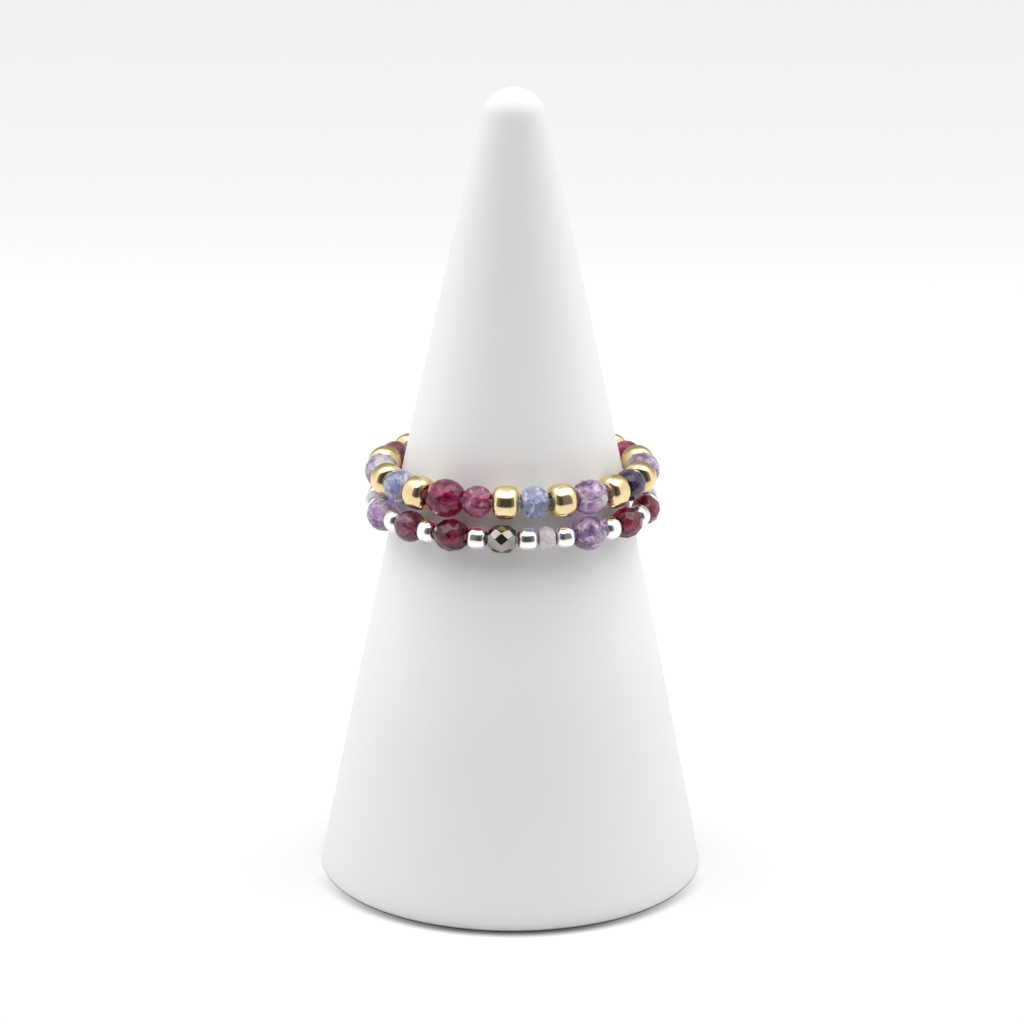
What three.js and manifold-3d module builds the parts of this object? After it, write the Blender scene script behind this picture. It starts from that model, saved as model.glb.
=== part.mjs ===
// Two beaded stacking rings resting on a ring cone stand.
// Millimetres, +Z up, origin at the centre of the cone's flat base, the front towards -Y.
import * as THREE from 'three';
import { mergeVertices } from 'three/addons/utils/BufferGeometryUtils.js';
import Module from 'manifold-3d';

const wasm = await Module();
wasm.setup();

// Cone stand: a slightly bellied cone with a small rounded foot edge and a ball tip.
const CONE_HEIGHT = 60.5;
const CONE_BASE_RADIUS = 14.8;
const CONE_TIP_RADIUS = 2.46;
const CONE_BELLY = 0.25;
const CONE_FOOT_EDGE_RADIUS = 0.15;
const CONE_SIDES = 48;
const CONE_SIDE_ROWS = 8;
const CONE_TIP_ROWS = 5;
const CONE_FOOT_ROWS = 3;

// Elastic cord and drilling, the same in both rings.
const CORD_DIAMETER = 0.5;
const CORD_SIDES = 8;
const CORD_STEPS = 56;
const BORE_CLEARANCE = 0.08;
const STONE_END_RIM = 0.15;
const BEAD_GAP = 0.03;
const STONE_FACETS = 12;
const SPACER_SIDES = 12;

// How far the rings stay clear of the cone and of each other.
const SEAT_CLEARANCE = 0.06;
const STACK_CLEARANCE = 0.03;

// Nominal size that the stones are sorted to, and the metal spacer beads.
const STONE_DIAMETER = 2.5;
const GOLD_LENGTH = 1.92;
const GOLD_DIAMETER = 2.5;
const SILVER_LENGTH = 1.42;
const SILVER_DIAMETER = 1.7;

// Outline of each kind of bead towards its middle, as shares of half its length (along the
// cord) and of half its diameter (radius). A stone's flat end is a rim round its bore.
const STONE_OUTLINE = [
  { along: 0.56, radius: 0.83 },
  { along: 0.0, radius: 1.0 },
];
const SPACER_OUTLINE = [
  { along: 1.0, radius: 0.5 },
  { along: 0.82, radius: 0.84 },
  { along: 0.32, radius: 1.0 },
];

// Colour, roughness and metalness of each finish.
const FINISHES = {
  ceramic: { color: 0xf2f1ee, roughness: 0.55, metalness: 0 },
  gold: { color: 0xe6c479, roughness: 0.12, metalness: 1 },
  silver: { color: 0xe8e8ea, roughness: 0.1, metalness: 1 },
  pyrite: { color: 0x6e685f, roughness: 0.15, metalness: 1 },
  ruby: { color: 0x8c1647, roughness: 0.15, metalness: 0 },
  rose: { color: 0xa34a78, roughness: 0.2, metalness: 0 },
  garnet: { color: 0x5c0f26, roughness: 0.12, metalness: 0 },
  mauve: { color: 0x7c4560, roughness: 0.25, metalness: 0 },
  amethyst: { color: 0x8258a8, roughness: 0.18, metalness: 0 },
  lavender: { color: 0xb3a3c4, roughness: 0.25, metalness: 0 },
  iolite: { color: 0x3a2c63, roughness: 0.15, metalness: 0 },
  tanzanite: { color: 0x7d8bc4, roughness: 0.2, metalness: 0 },
  lilac: { color: 0xd9ccdf, roughness: 0.3, metalness: 0 },
};

// Beads in order, from the one at the front round by the right (+X), the back and the left.
// A stone's length and diameter are shares of the nominal stone diameter.
const GOLD_SPACER = { kind: 'gold', length: GOLD_LENGTH, diameter: GOLD_DIAMETER };
const UPPER_FRONT_ANGLE = -2.6;
const UPPER_BEADS = [
  GOLD_SPACER, { stone: 'tanzanite', length: 0.78, diameter: 1.0 },
  GOLD_SPACER, { stone: 'amethyst', length: 0.99, diameter: 1.05 },
  GOLD_SPACER, { stone: 'iolite', length: 0.91, diameter: 0.98 },
  GOLD_SPACER, { stone: 'lavender', length: 1.12, diameter: 1.05 },
  GOLD_SPACER, { stone: 'ruby', length: 0.88, diameter: 0.88 },
  GOLD_SPACER, { stone: 'amethyst', length: 0.96, diameter: 0.96 },
  GOLD_SPACER, { stone: 'rose', length: 0.86, diameter: 0.92 },
  GOLD_SPACER, { stone: 'tanzanite', length: 0.88, diameter: 0.92 },
  GOLD_SPACER, { stone: 'lavender', length: 0.9, diameter: 0.96 },
  GOLD_SPACER, { stone: 'mauve', length: 0.94, diameter: 0.88 },
  GOLD_SPACER, { stone: 'lavender', length: 1.21, diameter: 1.04 },
  GOLD_SPACER, { stone: 'tanzanite', length: 0.92, diameter: 1.02 },
  GOLD_SPACER, { stone: 'ruby', length: 1.08, diameter: 1.14 },
  { stone: 'rose', length: 0.8, diameter: 0.95 },
];
const SILVER_SPACER = { kind: 'silver', length: SILVER_LENGTH, diameter: SILVER_DIAMETER };
const LOWER_FRONT_ANGLE = -3.9;
const LOWER_BEADS = [
  { stone: 'pyrite', length: 0.81, diameter: 0.86 }, SILVER_SPACER,
  { stone: 'lilac', length: 0.47, diameter: 0.7 }, SILVER_SPACER,
  { stone: 'amethyst', length: 0.96, diameter: 1.03 }, SILVER_SPACER,
  { stone: 'garnet', length: 0.93, diameter: 0.95 }, SILVER_SPACER,
  { stone: 'garnet', length: 0.88, diameter: 0.9 }, SILVER_SPACER,
  { stone: 'lilac', length: 0.6, diameter: 0.7 }, SILVER_SPACER,
  { stone: 'rose', length: 0.78, diameter: 0.86 }, SILVER_SPACER,
  { stone: 'lavender', length: 0.75, diameter: 0.86 }, SILVER_SPACER,
  { stone: 'garnet', length: 0.78, diameter: 0.86 }, SILVER_SPACER,
  { stone: 'tanzanite', length: 0.75, diameter: 0.86 }, SILVER_SPACER,
  { stone: 'mauve', length: 0.78, diameter: 0.86 }, SILVER_SPACER,
  { stone: 'iolite', length: 0.75, diameter: 0.86 }, SILVER_SPACER,
  { stone: 'garnet', length: 0.78, diameter: 0.86 }, SILVER_SPACER,
  { stone: 'amethyst', length: 0.77, diameter: 0.86 }, SILVER_SPACER,
  { stone: 'lilac', length: 0.6, diameter: 0.7 }, SILVER_SPACER,
  { stone: 'amethyst', length: 0.94, diameter: 1.05 }, SILVER_SPACER,
  { stone: 'mauve', length: 0.82, diameter: 0.95 }, SILVER_SPACER,
  { stone: 'garnet', length: 0.95, diameter: 0.975 }, SILVER_SPACER,
];

// The upper ring's back hangs lower than its front by this angle, in degrees.
const UPPER_LEAN = 0.8;

// A bead's own sizes in millimetres.
function sized(bead) {
  if (!bead.stone) {
    return bead;
  }
  return {
    kind: bead.stone,
    length: bead.length * STONE_DIAMETER,
    diameter: bead.diameter * STONE_DIAMETER,
  };
}

const isSpacer = (bead) => bead.kind === 'gold' || bead.kind === 'silver';

// The straight bore leaves room for the cord, which curves inside it.
function boreRadius(bead, ringRadius) {
  const sag = (bead.length / 2) ** 2 / (2 * ringRadius);
  return CORD_DIAMETER / 2 + BORE_CLEARANCE + sag;
}

// Rows of a bead's outline from one end to its middle, in millimetres.
function outlineOf(bead, ringRadius) {
  const shares = isSpacer(bead) ? SPACER_OUTLINE : STONE_OUTLINE;
  const rows = shares.map(({ along, radius }) => ({
    along: (along * bead.length) / 2,
    radius: (radius * bead.diameter) / 2,
  }));
  if (isSpacer(bead)) {
    return rows;
  }
  const end = { along: bead.length / 2, radius: boreRadius(bead, ringRadius) + STONE_END_RIM };
  return [end, ...rows];
}

// Finds where a function that falls as its argument grows reaches zero, by halving the span
// until no number is left between its ends.
function solveFalling(excess, low, high) {
  let lower = low;
  let upper = high;
  let middle = (lower + upper) / 2;
  while (middle > lower && middle < upper) {
    if (excess(middle) > 0) {
      lower = middle;
    } else {
      upper = middle;
    }
    middle = (lower + upper) / 2;
  }
  return middle;
}

// The ball tip meets the cone's side where the side's straight chord is tangent to it.
const tipCentreHeight = CONE_HEIGHT - CONE_TIP_RADIUS;
const chordAngle = Math.asin((CONE_BASE_RADIUS - CONE_TIP_RADIUS) / Math.hypot(
  CONE_BASE_RADIUS - CONE_TIP_RADIUS, tipCentreHeight));
const shoulderHeight = tipCentreHeight + CONE_TIP_RADIUS * Math.sin(chordAngle);
const shoulderRadius = CONE_TIP_RADIUS * Math.cos(chordAngle);

function coneRadius(height) {
  const share = height / shoulderHeight;
  const chord = CONE_BASE_RADIUS + (shoulderRadius - CONE_BASE_RADIUS) * share;
  return chord + CONE_BELLY * 4 * share * (1 - share);
}

function coneSlope(height) {
  const share = height / shoulderHeight;
  return (shoulderRadius - CONE_BASE_RADIUS + CONE_BELLY * 4 * (1 - 2 * share)) / shoulderHeight;
}

// Half the angle that a bead takes up round its ring, so that straight beads on a curved cord
// meet at the inner edges of their ends.
function halfAngle(bead, ringRadius) {
  const angles = outlineOf(bead, ringRadius).map(({ along, radius }) => Math.atan2(
    along + BEAD_GAP / 2, ringRadius - radius));
  return Math.max(...angles);
}

function sum(values) {
  return values.reduce((total, value) => total + value, 0);
}

// Radius of the cord's circle on which the whole string closes.
function closedRadius(beads) {
  const string = sum(beads.map((bead) => bead.length + BEAD_GAP));
  const spare = (radius) => sum(beads.map((bead) => halfAngle(bead, radius))) - Math.PI;
  return solveFalling(spare, string / (2 * Math.PI), string / 2);
}

// Gives each bead its angle from the front, which grows towards +X. A positive lean lowers the
// ring's back.
function layOut(rows, frontAngle, lean) {
  const beads = rows.map(sized);
  const radius = closedRadius(beads);
  let angle = THREE.MathUtils.degToRad(frontAngle) - halfAngle(beads[0], radius);
  const placed = beads.map((bead) => {
    const half = halfAngle(bead, radius);
    const centre = angle + half;
    angle = centre + half;
    return { ...bead, angle: centre };
  });
  return { radius, lean: THREE.MathUtils.degToRad(lean), beads: placed };
}

// Height at which the ring's thickest bead rests against the cone.
function seatHeight(ring) {
  const reach = Math.max(...ring.beads.map((bead) => bead.diameter)) / 2 + SEAT_CLEARANCE;
  const overlap = (height) => {
    const distance = (ring.radius - coneRadius(height)) * Math.cos(Math.atan(coneSlope(height)));
    return reach - distance;
  };
  return solveFalling(overlap, 0, shoulderHeight);
}

// A leaning ring slides towards its low side as far as the cone is wider there.
function ringMatrix(ring, height) {
  const slide = -coneSlope(height) * ring.radius * Math.sin(ring.lean);
  return new THREE.Matrix4().makeTranslation(0, slide, height)
    .multiply(new THREE.Matrix4().makeRotationX(-ring.lean));
}

function beadPlace(bead, ring, height) {
  const place = new THREE.Vector3(
    ring.radius * Math.sin(bead.angle), -ring.radius * Math.cos(bead.angle), 0);
  return place.applyMatrix4(ringMatrix(ring, height));
}

// Least height of one ring above another at which none of their beads meet.
function stackHeight(upper, lower) {
  let height = lower.height;
  for (const above of upper.beads) {
    const start = beadPlace(above, upper, lower.height);
    for (const below of lower.beads) {
      const apart = beadPlace(below, lower, lower.height).sub(start);
      const reach = (Math.max(above.length, above.diameter)
        + Math.max(below.length, below.diameter)) / 2 + STACK_CLEARANCE;
      const rise = Math.sqrt(Math.max(0, reach ** 2 - apart.x ** 2 - apart.y ** 2));
      height = Math.max(height, lower.height + rise + apart.z);
    }
  }
  return height;
}

function finish(kind) {
  return new THREE.MeshStandardMaterial(FINISHES[kind]);
}

const MERGE_DISTANCE = 1e-5;
function closedGeometry(geometry) {
  const bare = geometry.clone();
  bare.deleteAttribute('normal');
  bare.deleteAttribute('uv');
  return mergeVertices(bare, MERGE_DISTANCE);
}

function toSolid(geometry) {
  const closed = closedGeometry(geometry);
  return new wasm.Manifold(new wasm.Mesh({
    numProp: 3,
    vertProperties: new Float32Array(closed.attributes.position.array),
    triVerts: new Uint32Array(closed.index.array),
  }));
}

function toGeometry(solid) {
  const mesh = solid.getMesh();
  const geometry = new THREE.BufferGeometry();
  geometry.setAttribute('position', new THREE.BufferAttribute(mesh.vertProperties, 3));
  geometry.setIndex(new THREE.BufferAttribute(mesh.triVerts, 1));
  geometry.computeVertexNormals();
  return geometry;
}

// The whole outline from the bead's lower end to its upper end, with a middle row once.
function outlineRows(bead, ringRadius) {
  const half = outlineOf(bead, ringRadius);
  const lower = half.map(({ along, radius }) => new THREE.Vector2(radius, -along));
  const upper = half.map(({ along, radius }) => new THREE.Vector2(radius, along)).reverse();
  const middleOnce = half[half.length - 1].along === 0 ? upper.slice(1) : upper;
  return [...lower, ...middleOnce];
}

// A drilled stone, its rows of corners each turned half a step so that the facets are
// triangles and kites. Its axis is Y.
function stoneGeometry(bead, ringRadius) {
  const bore = boreRadius(bead, ringRadius);
  const outer = outlineRows(bead, ringRadius);
  const first = outer[0];
  const last = outer[outer.length - 1];
  const profile = [...outer, new THREE.Vector2(bore, last.y), new THREE.Vector2(bore, first.y),
    first.clone()];
  const geometry = new THREE.LatheGeometry(profile, STONE_FACETS);
  const position = geometry.attributes.position;
  const corner = new THREE.Vector3();
  const axis = new THREE.Vector3(0, 1, 0);
  for (let index = 0; index < position.count; index += 1) {
    const row = Math.min(index % profile.length, outer.length - 1);
    corner.fromBufferAttribute(position, index);
    corner.applyAxisAngle(axis, (row * Math.PI) / STONE_FACETS);
    position.setXYZ(index, corner.x, corner.y, corner.z);
  }
  const closed = closedGeometry(geometry);
  closed.computeVertexNormals();
  return closed;
}

// A smooth barrel bead without a bore, because the cord inside it is one with it.
function spacerGeometry(bead, ringRadius) {
  const rows = outlineRows(bead, ringRadius);
  const first = new THREE.Vector2(0, rows[0].y);
  const last = new THREE.Vector2(0, rows[rows.length - 1].y);
  return new THREE.LatheGeometry([first, ...rows, last], SPACER_SIDES);
}

// Sets a bead's axis along the cord at its angle round the ring.
function beadMatrix(bead, ring) {
  const turn = new THREE.Matrix4().makeRotationZ(bead.angle - Math.PI / 2);
  const lean = new THREE.Matrix4().makeRotationX(-ring.lean);
  return lean.multiply(turn).setPosition(beadPlace(bead, ring, ring.height));
}

function stoneMesh(bead, ring, name) {
  const mesh = new THREE.Mesh(stoneGeometry(bead, ring.radius), finish(bead.kind));
  mesh.name = name;
  beadMatrix(bead, ring).decompose(mesh.position, mesh.quaternion, mesh.scale);
  return mesh;
}

// The elastic cord and the metal spacers fused on it.
function stringMesh(ring, kind, name) {
  const cord = new THREE.TorusGeometry(ring.radius, CORD_DIAMETER / 2, CORD_SIDES, CORD_STEPS);
  cord.applyMatrix4(ringMatrix(ring, ring.height));
  let solid = toSolid(cord);
  for (const bead of ring.beads.filter(isSpacer)) {
    const spacer = spacerGeometry(bead, ring.radius);
    spacer.applyMatrix4(beadMatrix(bead, ring));
    solid = solid.add(toSolid(spacer));
  }
  const mesh = new THREE.Mesh(toGeometry(solid), finish(kind));
  mesh.name = name;
  return mesh;
}

function ringGroup(ring, kind, prefix) {
  const group = new THREE.Group();
  group.add(stringMesh(ring, kind, `${prefix}_cord_and_${kind}_beads`));
  const stones = ring.beads.filter((bead) => !isSpacer(bead));
  stones.forEach((bead, index) => {
    const number = String(index + 1).padStart(2, '0');
    group.add(stoneMesh(bead, ring, `${prefix}_stone_${number}_${bead.kind}`));
  });
  return group;
}

function coneMesh() {
  const edge = CONE_FOOT_EDGE_RADIUS;
  const lean = Math.atan(coneSlope(edge));
  const profile = [new THREE.Vector2(0, 0)];
  const edgeTop = edge * (1 - Math.sin(lean));
  const edgeCentre = coneRadius(edgeTop) - edge * Math.cos(lean);
  for (let row = 0; row <= CONE_FOOT_ROWS; row += 1) {
    const angle = -Math.PI / 2 + (Math.PI / 2 - lean) * (row / CONE_FOOT_ROWS);
    profile.push(new THREE.Vector2(
      edgeCentre + edge * Math.cos(angle), edge + edge * Math.sin(angle)));
  }
  for (let row = 1; row < CONE_SIDE_ROWS; row += 1) {
    const height = edgeTop + (shoulderHeight - edgeTop) * (row / CONE_SIDE_ROWS);
    profile.push(new THREE.Vector2(coneRadius(height), height));
  }
  for (let row = 0; row < CONE_TIP_ROWS; row += 1) {
    const angle = chordAngle + (Math.PI / 2 - chordAngle) * (row / CONE_TIP_ROWS);
    profile.push(new THREE.Vector2(
      CONE_TIP_RADIUS * Math.cos(angle), tipCentreHeight + CONE_TIP_RADIUS * Math.sin(angle)));
  }
  profile.push(new THREE.Vector2(0, CONE_HEIGHT));
  const geometry = new THREE.LatheGeometry(profile, CONE_SIDES);
  geometry.rotateX(Math.PI / 2);
  const mesh = new THREE.Mesh(geometry, finish('ceramic'));
  mesh.name = 'cone_stand';
  return mesh;
}

const lowerRing = layOut(LOWER_BEADS, LOWER_FRONT_ANGLE, 0);
lowerRing.height = seatHeight(lowerRing);
const upperRing = layOut(UPPER_BEADS, UPPER_FRONT_ANGLE, UPPER_LEAN);
upperRing.height = Math.max(seatHeight(upperRing), stackHeight(upperRing, lowerRing));

const part = new THREE.Group();
part.add(coneMesh());
part.add(ringGroup(upperRing, 'gold', 'upper'));
part.add(ringGroup(lowerRing, 'silver', 'lower'));

export default part;
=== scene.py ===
import math
import random

import bmesh
import bpy
from mathutils import Matrix, Vector


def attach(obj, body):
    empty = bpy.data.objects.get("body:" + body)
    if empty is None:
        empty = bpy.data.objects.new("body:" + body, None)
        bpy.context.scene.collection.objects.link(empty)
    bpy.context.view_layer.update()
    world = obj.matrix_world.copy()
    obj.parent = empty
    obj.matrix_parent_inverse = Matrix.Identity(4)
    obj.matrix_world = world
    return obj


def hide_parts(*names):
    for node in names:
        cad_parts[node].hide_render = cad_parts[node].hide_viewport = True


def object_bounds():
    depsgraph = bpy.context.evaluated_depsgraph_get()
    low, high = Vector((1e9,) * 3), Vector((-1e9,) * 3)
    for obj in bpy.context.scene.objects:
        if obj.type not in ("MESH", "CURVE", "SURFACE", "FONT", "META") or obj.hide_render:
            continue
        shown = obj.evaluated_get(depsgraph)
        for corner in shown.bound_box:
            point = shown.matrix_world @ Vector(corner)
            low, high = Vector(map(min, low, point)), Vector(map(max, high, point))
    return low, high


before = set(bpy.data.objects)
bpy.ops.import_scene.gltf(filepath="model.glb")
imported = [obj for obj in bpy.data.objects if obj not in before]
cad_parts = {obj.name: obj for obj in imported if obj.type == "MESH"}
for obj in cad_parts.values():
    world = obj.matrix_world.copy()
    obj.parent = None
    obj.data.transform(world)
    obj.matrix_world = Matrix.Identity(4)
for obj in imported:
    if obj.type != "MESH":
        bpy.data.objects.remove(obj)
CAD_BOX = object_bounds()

# Two beaded stacking rings on a white ceramic ring cone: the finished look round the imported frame.

MM = 0.001

# The camera that took the photograph, worked out from the cone and the rings in it.
PHOTO_PIXELS = 1024
FOCAL_PIXELS = 3121.5
SENSOR_WIDTH = 36.0
CAMERA_PLACE = (0.0, -228.3 * MM, 94.1 * MM)
CAMERA_PITCH = math.radians(16.12)
CAMERA_ROLL = math.radians(0.26)
CAMERA_REACH = (0.01, 20.0)

# Levels of the white light tent, seen from the object: its walls and its roof, which are dimmer
# behind the object, and the opening that the camera looks in through, which is darkest in its
# middle. Heights are a direction's upward share, from 0 at the horizon to 1 overhead, and angles
# are measured round the object from the camera's side.
WALL_LEVEL = 1.06
BACK_WALL_LEVEL = 0.4
BACK_WALL_ANGLES = (math.radians(116), math.radians(152))
ROOF_LEVEL = 3.25
BACK_ROOF_LEVEL = 1.0
BACK_ROOF_ANGLES = (math.radians(114), math.radians(160))
ROOF_START = 0.5
OPENING_MIDDLE_LEVEL = 0.06
OPENING_SIDE_LEVEL = 0.2
OPENING_MIDDLE_ANGLE = math.radians(26)
OPENING_MIDDLE_BLUR = 0.16
OPENING_ANGLE = math.radians(60)
OPENING_LOW = -0.4
OPENING_HIGH = 0.74
OPENING_BLUR = 0.04

# The paper under the object ends this far in front of it, out of the picture.
FLOOR_FRONT = 108 * MM
FLOOR_BACK = 3.0
FLOOR_HALF_WIDTH = 3.0
FLOOR_DROP = 0.02 * MM
# The paper's tone at distances behind the object, in millimetres, which is how much light it gives
# back; its fall far behind the object is painted shade, for the tent's light falling off with
# distance.
FLOOR_TONES_AND_PAINTED_SHADE = ((-108, 0.60), (-40, 0.72), (0, 0.78), (100, 0.775), (150, 0.75), (206, 0.71),
               (242, 0.668), (284, 0.648), (334, 0.635), (408, 0.624), (561, 0.609))
# The contact shadow painted into the paper's colour round the foot: its width, and how much light it
# leaves in front, where the cone's own shade is deepest. Towards the sides it fades away.
PAINTED_SHADOW_START = 0.1 * MM
PAINTED_SHADOW_WIDTH = 1.2 * MM
PAINTED_SHADOW_FRONT = 0.15
PAINTED_SHADOW_FADE = (-0.97, -0.25)

# The ceramic's tone at heights in millimetres: greyer near the foot, which is painted shade that
# darkens the lower cone, and warmer at the tip.
CERAMIC_TONES_AND_PAINTED_SHADE = ((4, (0.782, 0.782, 0.782)), (12, (0.8, 0.8, 0.8)), (20, (0.863, 0.863, 0.863)),
                 (26, (0.895, 0.893, 0.888)), (60, (0.895, 0.887, 0.873)))
# Its tones wander up and down by clouds of this size, by this much, and its glaze has a fine grain.
CERAMIC_CLOUD_SIZE = 9 * MM
CERAMIC_CLOUD_SHIFT = 1.2 * MM
CERAMIC_GRAIN_SIZE = 0.35 * MM
CERAMIC_GRAIN_DEPTH = 0.004 * MM
CERAMIC_ROUGHNESS = (0.42, 0.56)

# The metals' two tones lie in soft clouds, and their roughness varies by these shares with a grain.
METAL_CLOUD_SIZE = 1.1 * MM
METAL_CLOUD_BAND = (0.35, 0.6)
METAL_GRAIN_SIZE = 0.12 * MM
METAL_ROUGHNESS_SHARES = (0.7, 1.5)

# The stones' clouds go from their deep to their pale tone, and from clear to cloudy, between these
# values of the noise. Their surface has a fine grain.
STONE_TONE_BAND = (0.36, 0.64)
STONE_CLEAR_BAND = (0.42, 0.66)
STONE_GRAIN_SIZE = 0.16 * MM
STONE_GRAIN_DEPTH = 0.003 * MM
STONE_ROUGHNESS = (0.04, 0.14)
STONE_DEPTH = 2.5 * MM
STONE_TURN_SEED = 7

# The elastic cord's milky clouds: their size and their tones.
CORD_CLOUD_SIZE = 0.6 * MM
CORD_TONES = ((0.3, (0.80, 0.79, 0.77)), (0.7, (0.93, 0.92, 0.91)))

# How often the rings' centres and angles are worked out again, how far a point stands off the
# cord's middle, in cord radii, before it counts as a spacer's, and the decimals in metres to which
# heights on the cone count as one.
PLANE_ROUNDS = 60
ANGLE_ROUNDS = 2
PROUD_SHARE = 1.5
HEIGHT_DECIMALS = 6

# Mesh fineness and small sizes that only the finished pieces have.
CONE_SIDES = 192
CONE_ROW_STEP = 0.6 * MM
CONE_TIP_GAP = 0.001 * MM
SPACER_SIDES = 48
SPACER_ROWS = 24
SPACER_SQUARENESS = 3.2
SPACER_END_SHARE = 0.56
SPACER_RIM = 0.05 * MM
BORE_PLAY = 0.08 * MM
CORD_SIDES = 12
CORD_STEPS = 240
CORD_RADIUS = 0.25 * MM
BORE_SIDES = 18
PYRITE_SIDES = 8
END_RIM = 0.25 * MM
FACET_WEAR = 0.07
FLAT_FACET_ANGLE = math.radians(0.6)
HULL_MERGE = 1e-4

# How far the facets of the stones that show best are turned round their bores, in degrees.
FACET_PHASES = {
    "lower_stone_01_pyrite": 15.0,
    "lower_stone_18_garnet": 41.0,
}


def vertex_places(node):
    return [vertex.co.copy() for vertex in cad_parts[node].data.vertices]


def directions(angle):
    """Along the cord, outwards and up at an angle round the ring, from the front towards +X."""
    along = Vector((math.cos(angle), math.sin(angle), 0.0))
    outward = Vector((math.sin(angle), -math.cos(angle), 0.0))
    return along, outward, Vector((0.0, 0.0, 1.0))


def span(places, axis):
    reach = [place.dot(axis) for place in places]
    return min(reach), max(reach)


def mean(vectors):
    return sum(vectors, Vector((0.0, 0.0, 0.0))) / len(vectors)


def angle_of(place):
    return math.atan2(place.x, -place.y)


class Bead:
    """Where a bead lies in its ring's plane: angle, centre, length along the cord, diameter."""

    def __init__(self, places):
        angle = angle_of(mean(places))
        for _ in range(ANGLE_ROUNDS):
            along, outward, up = directions(angle)
            low, high = span(places, along)
            inner, outer = span(places, outward)
            centre = along * (low + high) / 2 + outward * (inner + outer) / 2
            angle = angle_of(centre)
        bottom, top = span(places, up)
        self.angle = angle
        self.length = high - low
        self.diameter = top - bottom
        self.centre = centre + up * (bottom + top) / 2

    def matrix(self):
        """Turns a bead made with its axis along X and its outer side towards -Y into place."""
        return Matrix.Translation(self.centre) @ Matrix.Rotation(self.angle, 4, "Z")


class Ring:
    """A ring of the frame: where its plane lies, its radius, its stones by node, its spacers."""

    def __init__(self, prefix):
        names = sorted(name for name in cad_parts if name.startswith(prefix))
        self.prefix = prefix
        self.string = next(name for name in names if "cord" in name)
        stones = {name: vertex_places(name) for name in names if "stone" in name}
        self.find_plane([mean(places) for places in stones.values()])
        flat = self.place.inverted()
        self.stones = {name: Bead([flat @ place for place in places])
                       for name, places in stones.items()}
        self.spacers = self.find_spacers([flat @ place for place in vertex_places(self.string)])

    def find_plane(self, centres):
        """Fits the stones' centres by a circle whose plane leans back or forwards."""
        middle = mean(centres)
        offsets = [centre - middle for centre in centres]
        slope = sum(o.y * o.z for o in offsets) / sum(o.y * o.y for o in offsets)
        lean = Matrix.Rotation(math.atan(slope), 4, "X")
        for _ in range(PLANE_ROUNDS):
            flat = (Matrix.Translation(middle) @ lean).inverted()
            local = [flat @ centre for centre in centres]
            self.radius = sum(place.length for place in local) / len(local)
            shift = mean([place - place.normalized() * self.radius for place in local])
            middle = middle + lean @ shift
        self.place = Matrix.Translation(middle) @ lean

    def find_spacers(self, places):
        """The spacers are what stands proud of the cord between two stones next to each other."""
        proud = [place for place in places
                 if math.hypot(place.xy.length - self.radius, place.z)
                 > CORD_RADIUS * PROUD_SHARE]
        angles = sorted(bead.angle for bead in self.stones.values())
        turned = angles[1:] + [angles[0] + 2 * math.pi]
        found = []
        for start, end in zip(angles, turned):
            between = [place for place in proud
                       if (angle_of(place) - start) % (2 * math.pi) < end - start]
            if between:
                found.append(Bead(between))
        return found


def new_piece(name, bm, material, nodes, smooth=True):
    """Makes a bmesh into a piece that rides on the one body and stands for its CAD nodes."""
    bmesh.ops.recalc_face_normals(bm, faces=bm.faces[:])
    mesh = bpy.data.meshes.new(name)
    for face in bm.faces:
        face.smooth = smooth
    bm.to_mesh(mesh)
    bm.free()
    piece = bpy.data.objects.new(name, mesh)
    bpy.context.scene.collection.objects.link(piece)
    mesh.materials.append(material)
    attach(piece, "root")
    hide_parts(*nodes)


def add_rings(bm, rows, closed):
    """Joins rows of points, all of one length, into a skin. closed joins the last to the first."""
    made = [[bm.verts.new(point) for point in row] for row in rows]
    pairs = list(zip(made, made[1:])) + ([(made[-1], made[0])] if closed else [])
    for lower, upper in pairs:
        count = len(lower)
        for i in range(count):
            j = (i + 1) % count
            bm.faces.new((lower[i], lower[j], upper[j], upper[i]))
    return made


def circle(radius, sides, place):
    """Points round the Z axis, which place then puts where they belong."""
    steps = [2 * math.pi * i / sides for i in range(sides)]
    return [place @ Vector((radius * math.cos(a), radius * math.sin(a), 0.0)) for a in steps]


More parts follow.
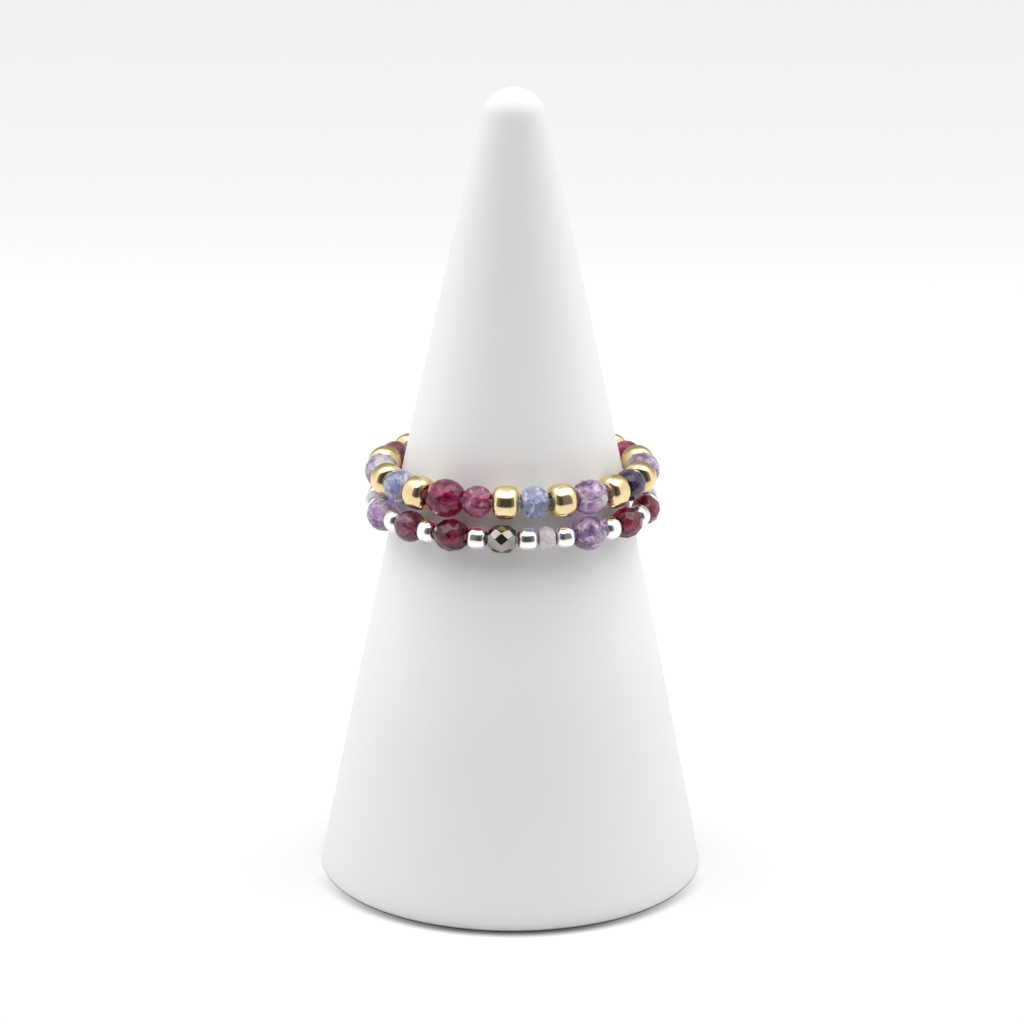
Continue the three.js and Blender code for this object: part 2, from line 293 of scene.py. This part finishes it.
class Shader:
    """A short way to build a material's nodes."""

    def __init__(self, name):
        self.material = bpy.data.materials.new(name)
        self.material.use_nodes = True
        self.tree = self.material.node_tree
        self.tree.nodes.clear()
        self.output = self.tree.nodes.new("ShaderNodeOutputMaterial")
        self.surface = self.add("ShaderNodeBsdfPrincipled")
        self.link(self.surface, "BSDF", self.output, "Surface")
        self.coordinates = self.add("ShaderNodeTexCoord")

    def add(self, kind, **settings):
        node = self.tree.nodes.new(kind)
        for key, value in settings.items():
            if hasattr(node, key):
                setattr(node, key, value)
            else:
                node.inputs[key.replace("_", " ").title()].default_value = value
        return node

    def link(self, source, output, target, socket):
        self.tree.links.new(source.outputs[output], target.inputs[socket])

    def noise(self, size, detail=3.0, roughness=0.5, distortion=0.0):
        """Noise with features of about that size, in metres, fixed to the object."""
        node = self.add("ShaderNodeTexNoise", Scale=1.0 / size, Detail=detail,
                        Roughness=roughness, Distortion=distortion)
        self.link(self.coordinates, "Object", node, "Vector")
        return node

    def ramp(self, source, stops, output="Fac"):
        """Maps a value to colours at stops of (position, colour)."""
        node = self.add("ShaderNodeValToRGB")
        band = node.color_ramp
        while len(band.elements) < len(stops):
            band.elements.new(0.5)
        for element, (position, colour) in zip(band.elements, stops):
            element.position = position
            element.color = (*colour, 1.0)
        self.link(source, output, node, "Fac")
        return node

    def range(self, source, low, high, output="Fac", from_low=0.3, from_high=0.7):
        """Spreads a value that runs from from_low to from_high between low and high."""
        node = self.add("ShaderNodeMapRange")
        node.inputs["From Min"].default_value = from_low
        node.inputs["From Max"].default_value = from_high
        node.inputs["To Min"].default_value = low
        node.inputs["To Max"].default_value = high
        self.link(source, output, node, "Value")
        return node

    def bump(self, source, height):
        """Raises the surface by a noise, by that height in metres where the noise is whole."""
        node = self.add("ShaderNodeBump")
        node.inputs["Strength"].default_value = 1.0
        node.inputs["Distance"].default_value = height
        self.link(source, "Fac", node, "Height")
        self.link(node, "Normal", self.surface, "Normal")

    def set(self, **values):
        """Sets the surface's own values, the same all over."""
        for key, value in values.items():
            self.surface.inputs[key.replace("_", " ")].default_value = value


def absorption(shader, through, thickness):
    """Tints light by the colour through over a thickness, denser where the path is longer."""
    loss = [-math.log(share) / thickness for share in through]
    density = max(loss)
    node = shader.add("ShaderNodeVolumeAbsorption")
    node.inputs["Density"].default_value = density
    node.inputs["Color"].default_value = (*[1 - value / density for value in loss], 1.0)
    shader.link(node, "Volume", shader.output, "Volume")


def ceramic_material():
    shader = Shader("white_ceramic_painted_shade")
    clouds = shader.noise(CERAMIC_CLOUD_SIZE, detail=4)
    split = shader.add("ShaderNodeSeparateXYZ")
    shader.link(shader.coordinates, "Object", split, "Vector")
    cloud = shader.range(clouds, -CERAMIC_CLOUD_SHIFT, CERAMIC_CLOUD_SHIFT)
    height = shader.add("ShaderNodeMath", operation="ADD")
    shader.tree.links.new(split.outputs["Z"], height.inputs[0])
    shader.tree.links.new(cloud.outputs["Result"], height.inputs[1])
    # Painted shade: the ceramic's tone by height makes the cone darker towards the foot.
    top = CERAMIC_TONES_AND_PAINTED_SHADE[-1][0]
    rise = shader.range(height, 0.0, 1.0, output="Value", from_low=0.0, from_high=top * MM)
    tint = shader.ramp(rise, [(z / top, tone) for z, tone in CERAMIC_TONES_AND_PAINTED_SHADE], output="Result")
    shader.link(tint, "Color", shader.surface, "Base Color")
    grain = shader.noise(CERAMIC_GRAIN_SIZE, detail=5, roughness=0.65)
    rough = shader.range(grain, *CERAMIC_ROUGHNESS)
    shader.link(rough, "Result", shader.surface, "Roughness")
    shader.bump(grain, CERAMIC_GRAIN_DEPTH)
    shader.set(IOR=1.45)
    return shader.material


# Each metal: its two tones, its tone at a grazing look, its roughness and its scratches' depth.
METALS = {
    "pyrite": dict(light=(0.35, 0.325, 0.30), dark=(0.25, 0.225, 0.195), edge=(0.45, 0.40, 0.35),
                   roughness=0.06, scratch=0.001 * MM),
    "gold": dict(light=(0.89, 0.72, 0.42), dark=(0.80, 0.63, 0.34), edge=(0.98, 0.90, 0.72),
                 roughness=0.13, scratch=0.002 * MM),
    "silver": dict(light=(0.96, 0.95, 0.94), dark=(0.92, 0.91, 0.90), edge=(1.0, 1.0, 1.0),
                   roughness=0.16, scratch=0.002 * MM),
}


def metal_material(name, light, dark, edge, roughness, scratch):
    shader = Shader(name)
    patina = shader.noise(METAL_CLOUD_SIZE, detail=3)
    tint = shader.ramp(patina, list(zip(METAL_CLOUD_BAND, (dark, light))))
    shader.link(tint, "Color", shader.surface, "Base Color")
    grain = shader.noise(METAL_GRAIN_SIZE, detail=6, roughness=0.7)
    rough = shader.range(grain, *[roughness * share for share in METAL_ROUGHNESS_SHARES])
    shader.link(rough, "Result", shader.surface, "Roughness")
    shader.bump(grain, scratch)
    shader.set(Metallic=1.0, Specular_Tint=(*edge, 1.0))
    return shader.material


# Each stone: the colour that white light takes through STONE_DEPTH of it, the two tones of its
# cloudy parts, how clear its cloudiest and clearest parts are, the size of its clouds in
# millimetres, its refraction and its facets to a round.
STONES = {
    "ruby": dict(through=(0.64, 0.015, 0.27), cloud=((0.46, 0.015, 0.18), (0.62, 0.13, 0.32)),
                 clear=(0.6, 0.97), veins=1.2, ior=1.52, sides=14),
    "rose": dict(through=(0.66, 0.17, 0.37), cloud=((0.56, 0.13, 0.30), (0.80, 0.42, 0.57)),
                 clear=(0.4, 0.9), veins=0.8, ior=1.52, sides=14),
    "garnet": dict(through=(0.47, 0.010, 0.12), cloud=((0.30, 0.02, 0.08), (0.52, 0.13, 0.22)),
                   clear=(0.7, 1.0), veins=1.0, ior=1.54, sides=8),
    "mauve": dict(through=(0.44, 0.11, 0.20), cloud=((0.28, 0.06, 0.12), (0.50, 0.20, 0.30)),
                  clear=(0.45, 0.85), veins=0.8, ior=1.52, sides=12),
    "amethyst": dict(through=(0.68, 0.46, 0.76), cloud=((0.52, 0.34, 0.60), (0.95, 0.86, 0.95)),
                     clear=(0.4, 0.95), veins=1.0, ior=1.55, sides=12),
    "lavender": dict(through=(0.64, 0.55, 0.73), cloud=((0.50, 0.40, 0.58), (0.80, 0.73, 0.84)),
                     clear=(0.3, 0.85), veins=1.0, ior=1.55, sides=12),
    "iolite": dict(through=(0.17, 0.08, 0.27), cloud=((0.07, 0.03, 0.10), (0.30, 0.19, 0.37)),
                   clear=(0.6, 0.97), veins=0.8, ior=1.55, sides=10),
    "tanzanite": dict(through=(0.54, 0.57, 0.85), cloud=((0.42, 0.44, 0.68), (0.84, 0.86, 1.0)),
                      clear=(0.3, 0.75), veins=0.7, ior=1.62, sides=12),
    "lilac": dict(through=(0.96, 0.91, 0.95), cloud=((0.92, 0.83, 0.89), (1.0, 0.96, 0.98)),
                  clear=(0.2, 0.45), veins=0.8, ior=1.55, sides=10),
}


def stone_material(kind):
    facts = STONES[kind]
    shader = Shader(kind)
    veins = shader.noise(facts["veins"] * MM, detail=5, roughness=0.55, distortion=1.0)
    tint = shader.ramp(veins, list(zip(STONE_TONE_BAND, facts["cloud"])))
    shader.link(tint, "Color", shader.surface, "Base Color")
    cloudy, clear = facts["clear"]
    least, most = STONE_CLEAR_BAND
    clarity = shader.range(veins, clear, cloudy, from_low=least, from_high=most)
    shader.link(clarity, "Result", shader.surface, "Transmission Weight")
    grain = shader.noise(STONE_GRAIN_SIZE, detail=4, roughness=0.6)
    rough = shader.range(grain, *STONE_ROUGHNESS)
    shader.link(rough, "Result", shader.surface, "Roughness")
    shader.bump(grain, STONE_GRAIN_DEPTH)
    shader.set(IOR=facts["ior"])
    absorption(shader, facts["through"], STONE_DEPTH)
    return shader.material


def cord_material():
    shader = Shader("clear_elastic")
    cloud = shader.noise(CORD_CLOUD_SIZE)
    tint = shader.ramp(cloud, CORD_TONES)
    shader.link(tint, "Color", shader.surface, "Base Color")
    shader.set(Roughness=0.25, IOR=1.5, Transmission_Weight=0.7)
    return shader.material


def facet_planes(sides, phase, end):
    """Planes of a round cut, each as its normal over its distance from the middle.

    Rows of facets are staggered along the drilled axis X. The last two planes are the flat ends."""
    step = math.pi / sides
    planes = []
    for row in range(-sides // 2, sides // 2 + 1):
        latitude = row * step
        if abs(math.sin(latitude)) > end:
            continue
        turn = phase + (row % 2) * math.pi / sides
        for i in range(sides):
            a = turn + 2 * math.pi * i / sides
            planes.append(Vector((math.sin(latitude), -math.cos(latitude) * math.cos(a),
                                  math.cos(latitude) * math.sin(a))))
    return planes + [Vector((-1 / end, 0, 0)), Vector((1 / end, 0, 0))]


def wrap(points):
    """The smallest convex skin round some points."""
    bm = bmesh.new()
    for point in points:
        bm.verts.new(point)
    bmesh.ops.remove_doubles(bm, verts=bm.verts[:], dist=HULL_MERGE)
    bmesh.ops.convex_hull(bm, input=bm.verts[:])
    inside = [vertex for vertex in bm.verts if not vertex.link_faces]
    bmesh.ops.delete(bm, geom=inside, context="VERTS")
    bm.normal_update()
    return bm


def face_corners(planes):
    """For each plane, the corners of its face on the solid that the planes enclose."""
    dual = wrap(planes)
    corners = []
    for vertex in dual.verts:
        own = [face.normal / face.normal.dot(vertex.co) for face in vertex.link_faces]
        corners.append(own)
    dual.free()
    return corners


def drill(bm, half_length, bore):
    """Opens the two flat ends on X and joins them by a round bore."""
    rims = []
    for side in (-1, 1):
        end = max(bm.faces, key=lambda face: side * face.normal.x * face.calc_area())
        outer = list(end.edges)
        bmesh.ops.delete(bm, geom=[end], context="FACES_ONLY")
        turn = Matrix.Translation((side * half_length, 0, 0)) @ Matrix.Rotation(math.pi / 2, 4, "Y")
        inner = [bm.verts.new(point) for point in circle(bore, BORE_SIDES, turn)]
        ring = [bm.edges.new((inner[i], inner[(i + 1) % BORE_SIDES])) for i in range(BORE_SIDES)]
        bmesh.ops.triangle_fill(bm, edges=outer + ring, use_beauty=True, normal=(side, 0, 0))
        rims.append(inner)
    for i in range(BORE_SIDES):
        j = (i + 1) % BORE_SIDES
        bm.faces.new((rims[0][i], rims[0][j], rims[1][j], rims[1][i]))


def stone_bmesh(bead, place, sides, phase):
    """A drilled stone: a round cut's facets, flat ends at the bore and worn edges."""
    half = bead.length / 2
    radius = bead.diameter / 2
    sag = half ** 2 / (2 * bead.centre.length)
    bore = CORD_RADIUS + BORE_PLAY + sag
    end = math.sqrt(1 - ((bore + END_RIM) / radius) ** 2)
    points = []
    for corners in face_corners(facet_planes(sides, phase, end)):
        centre = mean(corners)
        points.extend(centre.lerp(corner, 1 - FACET_WEAR) for corner in corners)
    widest = max(math.hypot(point.y, point.z) for point in points)
    bm = wrap([Vector((point.x * half / end, point.y * radius / widest, point.z * radius / widest))
               / radius for point in points])
    bmesh.ops.transform(bm, matrix=Matrix.Scale(radius, 4), verts=bm.verts[:])
    bmesh.ops.dissolve_limit(bm, angle_limit=FLAT_FACET_ANGLE, verts=bm.verts[:],
                             edges=bm.edges[:])
    drill(bm, half, bore)
    bmesh.ops.transform(bm, matrix=place @ bead.matrix(), verts=bm.verts[:])
    return bm


def spacer_rows(bead, ring_place):
    """A polished barrel with softly squared shoulders, and its bore."""
    half = bead.length / 2
    radius = bead.diameter / 2
    full = (1 - SPACER_END_SHARE ** SPACER_SQUARENESS) ** (1 / SPACER_SQUARENESS)
    bore = CORD_RADIUS + BORE_PLAY
    profile = []
    for row in range(SPACER_ROWS + 1):
        along = -math.cos(math.pi * row / SPACER_ROWS)
        share = (1 - abs(along * full) ** SPACER_SQUARENESS) ** (1 / SPACER_SQUARENESS)
        profile.append((along * half, share * radius))
    profile.append((half - SPACER_RIM / 2, bore))
    profile.append((SPACER_RIM / 2 - half, bore))
    place = ring_place @ bead.matrix() @ Matrix.Rotation(math.pi / 2, 4, "Y")
    return [circle(r, SPACER_SIDES, place @ Matrix.Translation((0, 0, x))) for x, r in profile]


def make_spacers(ring, material, slot):
    bm = bmesh.new()
    for bead in ring.spacers:
        add_rings(bm, spacer_rows(bead, ring.place), closed=True)
    new_piece(f"{ring.prefix}_{slot}_spacers", bm, material, [ring.string])


def make_cord(ring, material):
    bm = bmesh.new()
    turns = [2 * math.pi * i / CORD_SIDES for i in range(CORD_SIDES)]
    rows = []
    for step in range(CORD_STEPS):
        _, outward, up = directions(2 * math.pi * step / CORD_STEPS)
        centre = outward * ring.radius
        rows.append([ring.place @ (centre + (outward * math.cos(a) + up * math.sin(a))
                                   * CORD_RADIUS) for a in turns])
    add_rings(bm, rows, closed=True)
    new_piece(f"{ring.prefix}_elastic_cord", bm, material, [ring.string])


def make_stones(ring, materials, draw):
    for node, bead in ring.stones.items():
        kind = node.split("_")[-1]
        sides = STONES[kind]["sides"] if kind in STONES else PYRITE_SIDES
        phase = FACET_PHASES.get(node, draw.uniform(0, 360))
        bm = stone_bmesh(bead, ring.place, sides, math.radians(phase))
        new_piece(f"{node}_cut", bm, materials[kind], [node], smooth=False)


def cone_profile():
    """The cone's outline read off the frame as (height, radius), from the foot to the tip."""
    widest = {}
    for place in vertex_places("cone_stand"):
        height = round(place.z, HEIGHT_DECIMALS)
        widest[height] = max(widest.get(height, 0.0), math.hypot(place.x, place.y))
    return sorted(widest.items())


def smooth_outline(points, step):
    """A smooth curve through the outline's points, a point about every step.

    It starts straight at the foot, and at the tip it goes on level over to the other side."""
    knots = [Vector((radius, height)) for height, radius in points]
    outline = [knots[0]]
    for i in range(len(knots) - 1):
        before = knots[max(i - 1, 0)]
        start, end = knots[i], knots[i + 1]
        after = knots[min(i + 2, len(knots) - 1)]
        if i + 2 >= len(knots):
            after = Vector((-knots[i].x, knots[i].y))
        if i == 0:
            before = start
        chord = (end - start).length
        pull_start = (end - before).normalized() * chord
        pull_end = (after - start).normalized() * chord
        count = max(2, math.ceil(chord / step))
        for k in range(1, count + 1):
            t = k / count
            outline.append(start * (2 * t ** 3 - 3 * t ** 2 + 1)
                           + pull_start * (t ** 3 - 2 * t ** 2 + t)
                           + end * (3 * t ** 2 - 2 * t ** 3)
                           + pull_end * (t ** 3 - t ** 2))
    return outline


def make_cone(material):
    bm = bmesh.new()
    outline = smooth_outline(cone_profile(), CONE_ROW_STEP)
    outline = [point for point in outline if point.x > CONE_TIP_GAP]
    rows = [circle(point.x, CONE_SIDES, Matrix.Translation((0, 0, point.y)))
            for point in outline]
    made = add_rings(bm, rows, closed=False)
    bm.faces.new(made[0])
    tip = bm.verts.new((0, 0, CAD_BOX[1][2]))
    for i in range(CONE_SIDES):
        bm.faces.new((made[-1][i], made[-1][(i + 1) % CONE_SIDES], tip))
    new_piece("cone_body", bm, material, ["cone_stand"])


def make_floor():
    bm = bmesh.new()
    corners = ((-FLOOR_HALF_WIDTH, -FLOOR_FRONT), (FLOOR_HALF_WIDTH, -FLOOR_FRONT),
               (FLOOR_HALF_WIDTH, FLOOR_BACK), (-FLOOR_HALF_WIDTH, FLOOR_BACK))
    bm.faces.new([bm.verts.new((x, y, 0.0)) for x, y in corners])
    mesh = bpy.data.meshes.new("floor")
    bm.to_mesh(mesh)
    bm.free()
    floor = bpy.data.objects.new("floor", mesh)
    floor.location = (0, 0, -FLOOR_DROP)
    bpy.context.scene.collection.objects.link(floor)
    shader = Shader("white_paper_painted_shade")
    split = shader.add("ShaderNodeSeparateXYZ")
    shader.link(shader.coordinates, "Object", split, "Vector")
    # Painted shade: the paper's tone falls with distance behind the object, for the tent's light
    # falling off.
    near, far = FLOOR_TONES_AND_PAINTED_SHADE[0][0], FLOOR_TONES_AND_PAINTED_SHADE[-1][0]
    depth = shader.range(split, 0.0, 1.0, output="Y", from_low=near * MM, from_high=far * MM)
    stops = [((distance - near) / (far - near), (tone, tone, tone))
             for distance, tone in FLOOR_TONES_AND_PAINTED_SHADE]
    tint = shader.ramp(depth, stops, output="Result")
    # Painted shadow: the paper's colour is darkened in a ring round the cone's foot, most in front.
    foot = CAD_BOX[1][0]
    apart = shader.add("ShaderNodeVectorMath", operation="LENGTH")
    shader.link(shader.coordinates, "Object", apart, "Vector")
    shade = shader.range(split, PAINTED_SHADOW_FRONT, 1.0, output="Y", from_low=PAINTED_SHADOW_FADE[0] * foot,
                         from_high=PAINTED_SHADOW_FADE[1] * foot)
    painted_shadow = shader.range(apart, 0.0, 1.0, output="Value", from_low=foot + PAINTED_SHADOW_START,
                       from_high=foot + PAINTED_SHADOW_START + PAINTED_SHADOW_WIDTH)
    painted_shadow.interpolation_type = "SMOOTHSTEP"
    shader.link(shade, "Result", painted_shadow, "To Min")
    # The paper's colour is its tone times the painted shadow.
    paper = shader.add("ShaderNodeMix", data_type="RGBA", blend_type="MULTIPLY")
    paper.inputs["Factor"].default_value = 1.0
    colour_a, colour_b, colour_result = paper.inputs[6], paper.inputs[7], paper.outputs[2]
    shader.tree.links.new(tint.outputs["Color"], colour_a)
    shader.tree.links.new(painted_shadow.outputs["Result"], colour_b)
    shader.tree.links.new(colour_result, shader.surface.inputs["Base Color"])
    shader.set(Roughness=0.9, Specular_IOR_Level=0.1)
    mesh.materials.append(shader.material)


def make_camera():
    data = bpy.data.cameras.new("photo_camera")
    data.sensor_width = SENSOR_WIDTH
    data.lens = FOCAL_PIXELS / PHOTO_PIXELS * SENSOR_WIDTH
    data.clip_start, data.clip_end = CAMERA_REACH
    camera = bpy.data.objects.new("photo_camera", data)
    tilt = Matrix.Rotation(math.pi / 2 - CAMERA_PITCH, 4, "X")
    turn = tilt @ Matrix.Rotation(CAMERA_ROLL, 4, "Z")
    camera.matrix_world = Matrix.Translation(CAMERA_PLACE) @ turn
    bpy.context.scene.collection.objects.link(camera)
    bpy.context.scene.camera = camera


class WorldNodes:
    """A short way to work out the light tent's brightness from a direction."""

    def __init__(self):
        world = bpy.data.worlds.new("light_tent")
        bpy.context.scene.world = world
        world.use_nodes = True
        self.tree = world.node_tree
        self.tree.nodes.clear()
        direction = self.tree.nodes.new("ShaderNodeTexCoord")
        split = self.tree.nodes.new("ShaderNodeSeparateXYZ")
        self.tree.links.new(direction.outputs["Generated"], split.inputs[0])
        self.x, self.y, self.z = split.outputs

    def math(self, operation, first, second=0.0):
        node = self.tree.nodes.new("ShaderNodeMath")
        node.operation = operation
        for socket, value in zip(node.inputs, (first, second)):
            if isinstance(value, (int, float)):
                socket.default_value = value
            else:
                self.tree.links.new(value, socket)
        return node.outputs[0]

    def step(self, value, low, high, to_low=0.0, to_high=1.0):
        node = self.tree.nodes.new("ShaderNodeMapRange")
        node.interpolation_type = "SMOOTHSTEP"
        self.tree.links.new(value, node.inputs["Value"])
        for socket, number in (("From Min", low), ("From Max", high),
                               ("To Min", to_low), ("To Max", to_high)):
            node.inputs[socket].default_value = number
        return node.outputs["Result"]

    def mix(self, factor, first, second):
        """first where the factor is 0, second where it is 1."""
        share = self.math("SUBTRACT", 1.0, factor)
        return self.math("ADD", self.math("MULTIPLY", first, share),
                         self.math("MULTIPLY", second, factor))

    def finish(self, level):
        background = self.tree.nodes.new("ShaderNodeBackground")
        background.inputs["Color"].default_value = (1.0, 1.0, 1.0, 1.0)
        output = self.tree.nodes.new("ShaderNodeOutputWorld")
        self.tree.links.new(level, background.inputs["Strength"])
        self.tree.links.new(background.outputs[0], output.inputs["Surface"])


def make_light_tent():
    tent = WorldNodes()
    towards_camera = tent.math("MULTIPLY", tent.y, -1.0)
    azimuth = tent.math("ABSOLUTE", tent.math("ARCTAN2", tent.x, towards_camera))
    wall = tent.step(azimuth, *BACK_WALL_ANGLES, WALL_LEVEL, BACK_WALL_LEVEL)
    roof = tent.step(azimuth, *BACK_ROOF_ANGLES, ROOF_LEVEL, BACK_ROOF_LEVEL)
    white = tent.mix(tent.step(tent.z, ROOF_START, 1.0), wall, roof)
    dark = tent.step(azimuth, OPENING_MIDDLE_ANGLE - OPENING_MIDDLE_BLUR,
                     OPENING_MIDDLE_ANGLE + OPENING_MIDDLE_BLUR,
                     OPENING_MIDDLE_LEVEL, OPENING_SIDE_LEVEL)
    across = tent.step(azimuth, OPENING_ANGLE - OPENING_BLUR, OPENING_ANGLE + OPENING_BLUR, 1.0, 0.0)
    above = tent.step(tent.z, OPENING_LOW - OPENING_BLUR, OPENING_LOW)
    below = tent.step(tent.z, OPENING_HIGH - OPENING_BLUR, OPENING_HIGH + OPENING_BLUR, 1.0, 0.0)
    opening = tent.math("MULTIPLY", across, tent.math("MULTIPLY", above, below))
    tent.finish(tent.mix(opening, white, dark))


bpy.context.scene.view_settings.view_transform = "Standard"
make_camera()
make_light_tent()
make_floor()
MATERIALS = {kind: stone_material(kind) for kind in STONES}
MATERIALS.update({name: metal_material(name, **facts) for name, facts in METALS.items()})
CORD = cord_material()
DRAW = random.Random(STONE_TURN_SEED)
make_cone(ceramic_material())
for prefix, metal in (("upper", "gold"), ("lower", "silver")):
    ring = Ring(prefix)
    make_spacers(ring, MATERIALS[metal], metal)
    make_cord(ring, CORD)
    make_stones(ring, MATERIALS, DRAW)
